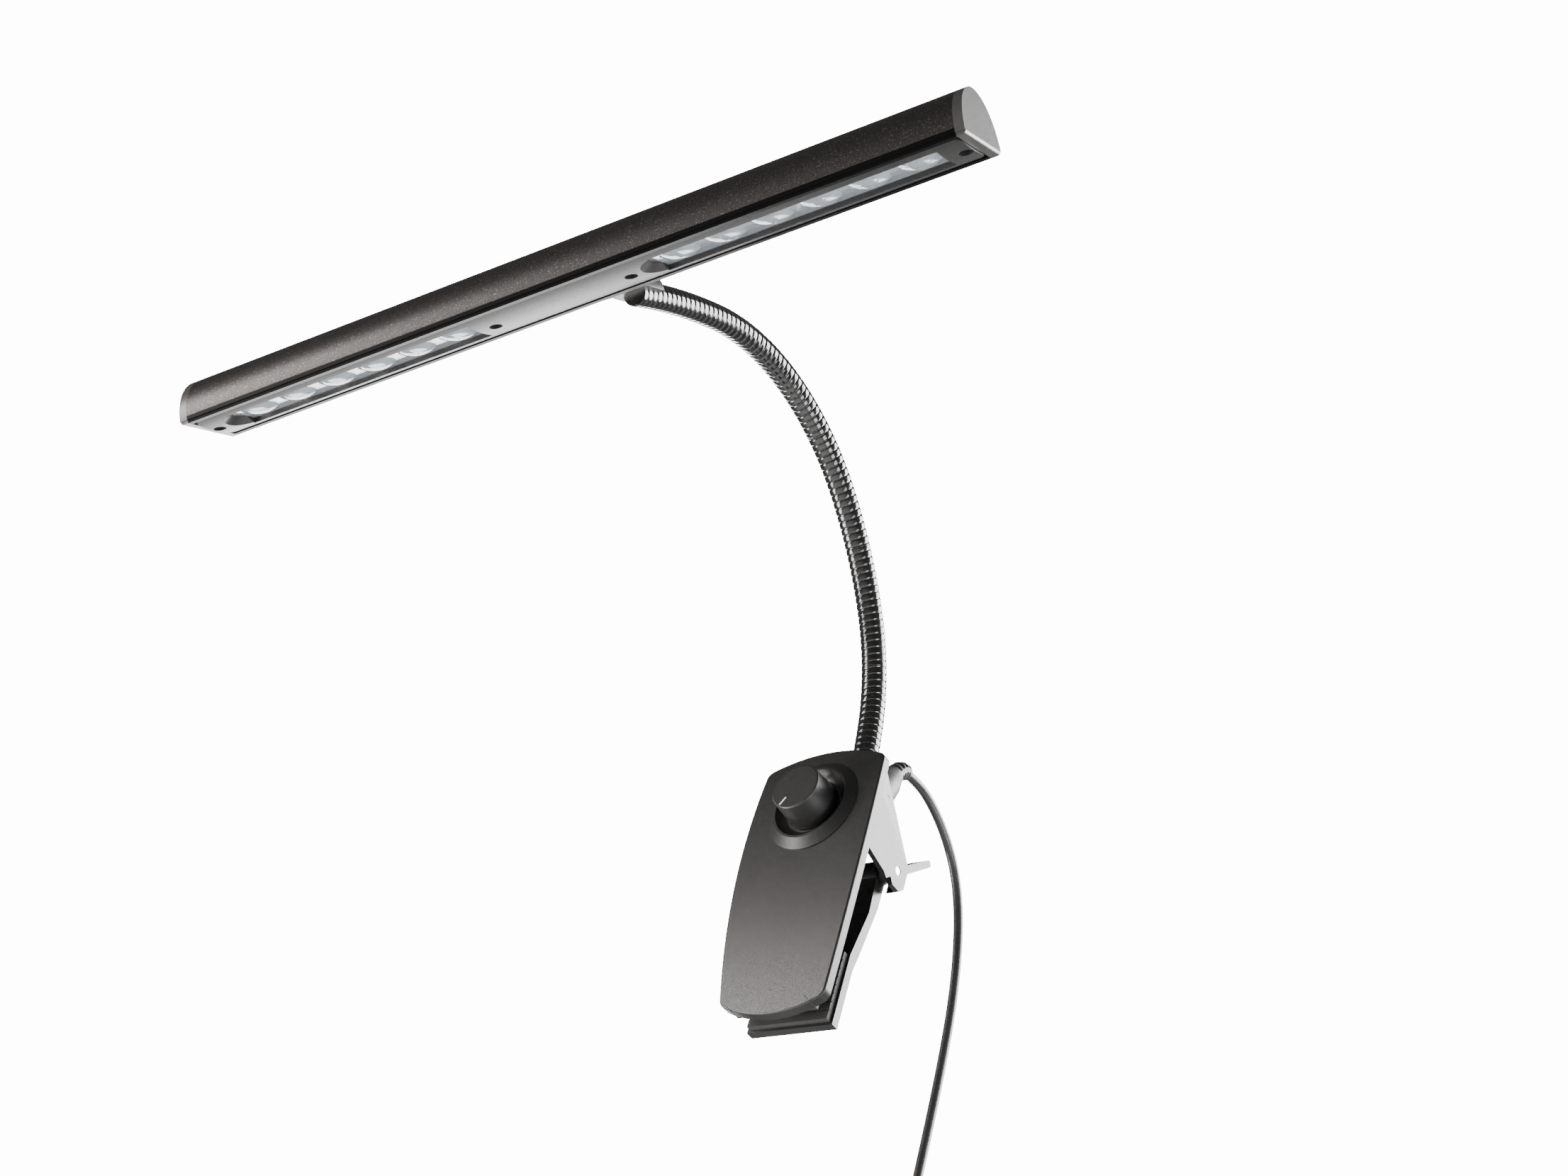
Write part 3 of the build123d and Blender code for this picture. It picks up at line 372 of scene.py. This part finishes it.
def neck_piece(index, begin, finish):
    step = WIRE_PITCH / STEPS_PER_PITCH
    count = round((finish - begin) / step)
    rings = []
    for i in range(count + 1):
        s = begin + (finish - begin) * i / count
        centre, tilt = neck_at(s)
        across = Vector((0, math.cos(math.radians(tilt)), math.sin(math.radians(tilt))))
        ring = []
        for j in range(NECK_SIDES):
            angle = 2 * math.pi * j / NECK_SIDES
            direction = Vector((1, 0, 0)) * math.cos(angle) + across * math.sin(angle)
            ring.append(centre + direction * wire_radius(s, angle))
        rings.append(ring)
    return grid_mesh(f"gooseneck_{index + 1}", rings)


def add_gooseneck(coat):
    """Five stretches, each bending across one joint and meeting the next in the middle of a link."""
    links = len(LINK_TURNS)
    ends = [0.0] + [(k + 0.5) * LINK_L for k in range(1, links - 1)] + [links * LINK_L]
    for k in range(links - 1):
        piece = neck_piece(k, ends[k], ends[k + 1])
        piece.data.materials.append(coat)
        joint, tilt = neck_at((k + 1) * LINK_L)
        replaced = [f"neck_link_{k + 1}"] + ([f"neck_link_{links}"] if k == links - 2 else [])
        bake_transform(piece)
        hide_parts(*replaced)


# ---------------------------------------------------------------- cable boot
BOOT_RISE = 64.0
BOOT_TURN = 54.0
BOOT_BEND_R = 7.5 * MM
BOOT_STRAIGHT = 15.0 * MM
BOOT_HIDDEN = 3.0 * MM
BOOT_STEPS = 170
BOOT_SIDES = 64
# distance along the boot and its radius there, in millimetres
BOOT_RADII = [
    (-3.0, 6.3),
    (0.0, 5.8),
    (8.0, 4.9),
    (13.0, 3.45),
    (15.0, 3.2),
    (19.0, 3.1),
    (21.6, 2.7),
    (22.1, 2.3),
]
BOOT_SLOTS = (14.6, 16.5, 18.4, 20.2)
SLOT_HALF = 0.55
SLOT_DEPTH = 1.5
SLOT_EDGE = 1.15        # where a slot's slope ends, in half widths
SLOT_SLOPE = 0.3
SPINE_HALF = 0.32       # sine of the angle left uncut on each side of the boot
SPINE_SLOPE = 0.12
SHADOW_FROM = 0.4       # share of the slot's depth from which its faces take the near-black painted shade


def boot_line(s):
    """Centre line of the boot: straight up from the roof, then an arc to the rear."""
    end = Vector(CORD_ROUTE[0])
    turn = math.radians(BOOT_TURN)
    rise = math.radians(BOOT_RISE)
    chord = 2 * BOOT_BEND_R * math.sin(turn / 2)
    knee = end - Vector((0, math.cos(rise - turn / 2), math.sin(rise - turn / 2))) * chord
    if s <= BOOT_STRAIGHT:
        return knee + Vector((0, math.cos(rise), math.sin(rise))) * (s - BOOT_STRAIGHT), rise
    part = (s - BOOT_STRAIGHT) / BOOT_BEND_R
    middle = rise - part / 2
    step = 2 * BOOT_BEND_R * math.sin(part / 2)
    return knee + Vector((0, math.cos(middle), math.sin(middle))) * step, rise - part


def between(table, value):
    """Value read in straight steps from a table of (position, value) pairs."""
    for (a, ra), (b, rb) in zip(table, table[1:]):
        if value <= b:
            t = max(0.0, (value - a) / (b - a))
            return ra + (rb - ra) * t
    return table[-1][1]


def slot_cut(s, angle):
    """Depth of the boot's slots at one point: none along the two sides, full above and below."""
    spine = max(0.0, min(1.0, (abs(math.sin(angle)) - SPINE_HALF) / SPINE_SLOPE))
    cut = 0.0
    for slot in BOOT_SLOTS:
        off = abs(s / MM - slot) / SLOT_HALF
        if off < SLOT_EDGE:
            cut = SLOT_DEPTH * MM * min(1.0, (SLOT_EDGE - off) / SLOT_SLOPE) * spine
    return cut


def add_boot(rubber, shadow):
    total = BOOT_STRAIGHT + BOOT_BEND_R * math.radians(BOOT_TURN)
    rings = []
    painted_shade_faces = set()
    for i in range(BOOT_STEPS + 1):
        s = -BOOT_HIDDEN + (total + BOOT_HIDDEN) * i / BOOT_STEPS
        centre, heading = boot_line(s)
        side = Vector((0, -math.sin(heading), math.cos(heading)))
        radius = between(BOOT_RADII, s / MM) * MM
        ring = []
        for j in range(BOOT_SIDES):
            angle = 2 * math.pi * j / BOOT_SIDES
            cut = slot_cut(s, angle)
            if cut > SHADOW_FROM * SLOT_DEPTH * MM:
                painted_shade_faces.add((i, j))
            direction = Vector((1, 0, 0)) * math.cos(angle) + side * math.sin(angle)
            ring.append(centre + direction * (radius - cut))
        rings.append(ring)
    piece = grid_mesh("cord_boot", rings)
    piece.data.materials.append(rubber)
    piece.data.materials.append(shadow)
    # faces deep in the slots get the second, near-black material: painted shade standing in for the
    # shadow inside them
    for face in piece.data.polygons:
        if divmod(face.index, BOOT_SIDES) in painted_shade_faces:
            face.material_index = 1
    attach(piece, "clip")
    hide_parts("cable_boot")


# ---------------------------------------------------------------- jaw spring
PIN_AT = (0.012, 0.046)
SPRING_COIL_R = 2.9 * MM
SPRING_WIRE_R = 0.6 * MM
SPRING_HALF = 3.6 * MM
SPRING_TURNS = 5
SPRING_SIDES = 12
SPRING_STEPS = 24       # in each turn
LEG_STEPS = 8
LEG_TOP_GAP = 1.6 * MM
LEG_FOOT_GAP = 0.2 * MM


def add_spring(metal_skin):
    """Wire wound round the hinge pin, one leg under the roof and one down the jaw's arm."""
    y, z = PIN_AT
    low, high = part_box("torsion_spring")
    top = high[2] - LEG_TOP_GAP
    line = []
    for k in range(LEG_STEPS):
        line.append(Vector((-SPRING_HALF, y - SPRING_COIL_R, top + (z - top) * k / LEG_STEPS)))
    steps = SPRING_TURNS * SPRING_STEPS
    for k in range(steps + 1):
        part = k / steps
        angle = math.pi + 2 * math.pi * (SPRING_TURNS - 0.5) * part
        x = -SPRING_HALF + 2 * SPRING_HALF * part
        line.append(Vector((x, y + SPRING_COIL_R * math.cos(angle), z - SPRING_COIL_R * math.sin(angle))))
    foot = low[2] + LEG_FOOT_GAP
    for k in range(1, LEG_STEPS + 1):
        line.append(Vector((SPRING_HALF, y + SPRING_COIL_R, z + (foot - z) * k / LEG_STEPS)))
    turns = [2 * math.pi * j / SPRING_SIDES for j in range(SPRING_SIDES)]
    rings = []
    for k, point in enumerate(line):
        along = (line[min(k + 1, len(line) - 1)] - line[max(k - 1, 0)]).normalized()
        side = along.cross(Vector((0, 1, 0)) if abs(along.x) > 0.9 else Vector((1, 0, 0))).normalized()
        other = along.cross(side)
        rings.append([point + (side * math.cos(a) + other * math.sin(a)) * SPRING_WIRE_R for a in turns])
    piece = grid_mesh("jaw_spring", rings)
    piece.data.materials.append(metal_skin)
    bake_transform(piece)
    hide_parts("torsion_spring")


# ---------------------------------------------------------------- light and backdrop
WHITE = (1.0, 1.0, 1.0)
LIGHTS_AIM = (0.0, -0.04, 0.06)
# name, place, size, power and colour
LIGHTS = (
    ("rear_right", (0.62, 0.72, 0.66), 0.9, 68, WHITE),
    ("front_left", (-0.8, -0.95, 0.12), 0.45, 14, (1.0, 0.955, 0.93)),
    ("low_left", (-0.75, -0.5, -0.45), 0.45, 16, (1.0, 0.97, 0.95)),
    ("low_right", (0.9, 0.1, -0.35), 0.5, 9, WHITE),
    ("rear_left", (-0.7, 0.6, 0.3), 0.5, 8, WHITE),
)
BACKDROP_STRENGTH = 14.0
WORLD_LIGHT = 0.12
FLOOR_HALF = 12.0
FLOOR_Z = -0.9
FLOOR_LIFT = 0.8


def add_area(name, at, size, power, color):
    data = bpy.data.lights.new(name, "AREA")
    data.energy = power
    data.color = color
    data.size = size
    light = bpy.data.objects.new(name, data)
    bpy.context.scene.collection.objects.link(light)
    direction = Vector(LIGHTS_AIM) - Vector(at)
    light.rotation_euler = direction.to_track_quat("-Z", "Y").to_euler()
    light.location = at


def add_lights():
    """Soft lights: the strongest behind on the right, four weaker ones around and below."""
    for light in LIGHTS:
        add_area(*light)


def add_world():
    """A white backdrop for the camera alone, and a faint even light on the object."""
    world = bpy.data.worlds.new("studio")
    bpy.context.scene.world = world
    world.use_nodes = True
    tree = world.node_tree
    back = tree.nodes["Background"]
    back.inputs["Color"].default_value = (*WHITE, 1.0)
    back.inputs["Strength"].default_value = WORLD_LIGHT
    white = tree.nodes.new("ShaderNodeBackground")
    white.inputs["Color"].default_value = (*WHITE, 1.0)
    white.inputs["Strength"].default_value = BACKDROP_STRENGTH
    path = tree.nodes.new("ShaderNodeLightPath")
    mix = tree.nodes.new("ShaderNodeMixShader")
    tree.links.new(path.outputs["Is Camera Ray"], mix.inputs["Fac"])
    tree.links.new(back.outputs["Background"], mix.inputs[1])
    tree.links.new(white.outputs["Background"], mix.inputs[2])
    tree.links.new(mix.outputs["Shader"], tree.nodes["World Output"].inputs["Surface"])


def add_floor():
    """A pale floor, lifted for the camera alone, so that it throws no light on the object."""
    mesh = bpy.data.meshes.new("floor")
    corners = [(-1, -1), (1, -1), (1, 1), (-1, 1)]
    mesh.from_pydata([(x * FLOOR_HALF, y * FLOOR_HALF, FLOOR_Z) for x, y in corners], [], [(0, 1, 2, 3)])
    floor = bpy.data.objects.new("floor", mesh)
    bpy.context.scene.collection.objects.link(floor)
    material, shader = base_material("floor", (0.8, 0.8, 0.8), 0.7)
    tree = material.node_tree
    path = tree.nodes.new("ShaderNodeLightPath")
    lift = tree.nodes.new("ShaderNodeMath")
    lift.operation = "MULTIPLY"
    lift.inputs[1].default_value = FLOOR_LIFT
    tree.links.new(path.outputs["Is Camera Ray"], lift.inputs[0])
    tree.links.new(lift.outputs["Value"], shader.inputs["Emission Strength"])
    shader.inputs["Emission Color"].default_value = (*WHITE, 1.0)
    mesh.materials.append(material)


# ---------------------------------------------------------------- build
add_camera()
cord_skin = grained("cord_skin", 0.02, 0.03, 0.34, grain=1200, strength=0.1)
add_cord(cord_skin)

clip_black = grained("clip_black", 0.01, 0.014, 0.4)
knob_black = grained("knob_black", 0.009, 0.014, 0.42)
pad_black = grained("pad_black", 0.02, 0.03, 0.75, grain=1500, strength=0.5)
boot_black = grained("boot_black", 0.05, 0.065, 0.5, grain=1500)
# near-black painted shade for the deep inside of the boot's slots
slot_painted_shade = grained("slot_painted_shade", 0.003, 0.005, 0.7)
neck_black = grained("neck_black", 0.008, 0.012, 0.16, grain=400, strength=0.05, coat=0.6)
cap_black = grained("cap_black", 0.04, 0.055, 0.34)
cover_black = grained("cover_black", 0.014, 0.02, 0.4)
supply_black = grained("supply_black", 0.018, 0.026, 0.5, grain=1300, strength=0.5)
board_white = grained("board_white", 0.62, 0.7, 0.5)
led_yellow = grained("led_yellow", 0.6, 0.75, 0.4, warm=0.3)
mark_white = grained("mark_white", 0.75, 0.85, 0.5)
steel = metal("steel", (0.55, 0.55, 0.56), 0.3)
screw_black = metal("screw_black", (0.06, 0.06, 0.062), 0.35)
aluminium = metal("aluminium", (0.75, 0.75, 0.76), 0.35)
pin_metal = metal("pin_metal", (0.8, 0.8, 0.8), 0.15)
shade = sparkle("shade")
polished_below(shade, "lamp_housing", SHADE_FOOT, HEAD_UP)
lens = clear_plastic("lens")

paint_nodes(clip_black, "front_cover", "clip_back", "jaw_lever", "knob_bezel")
paint_nodes(knob_black, "dimmer_knob")
paint_nodes(mark_white, "knob_mark")
paint_nodes(steel, "potentiometer", "pot_shaft", "pot_nut", "hinge_pin", "torsion_spring", "clip_screws")
paint_nodes(screw_black, "cover_screws", "bracket_screws")
paint_nodes(board_white, "dimmer_board", "led_board_left", "led_board_right")
paint_nodes(led_yellow, "leds_left", "leds_right")
paint_nodes(pad_black, "front_pad", "rear_pad", "plug_boot")
paint_nodes(neck_black, "neck_socket")
paint_nodes(shade, "lamp_housing")
paint_nodes(cap_black, "end_cap_left", "end_cap_right", "head_bracket")
paint_nodes(cover_black, "bottom_cover", "cord_ties")
paint_nodes(aluminium, "light_bar")
paint_nodes(lens, "lens_strip_left", "lens_strip_right")
paint_nodes(supply_black, "power_supply")
paint_nodes(pin_metal, "supply_pins")

add_gooseneck(neck_black)
add_boot(boot_black, slot_painted_shade)
add_spring(steel)
add_world()
add_floor()
add_lights()
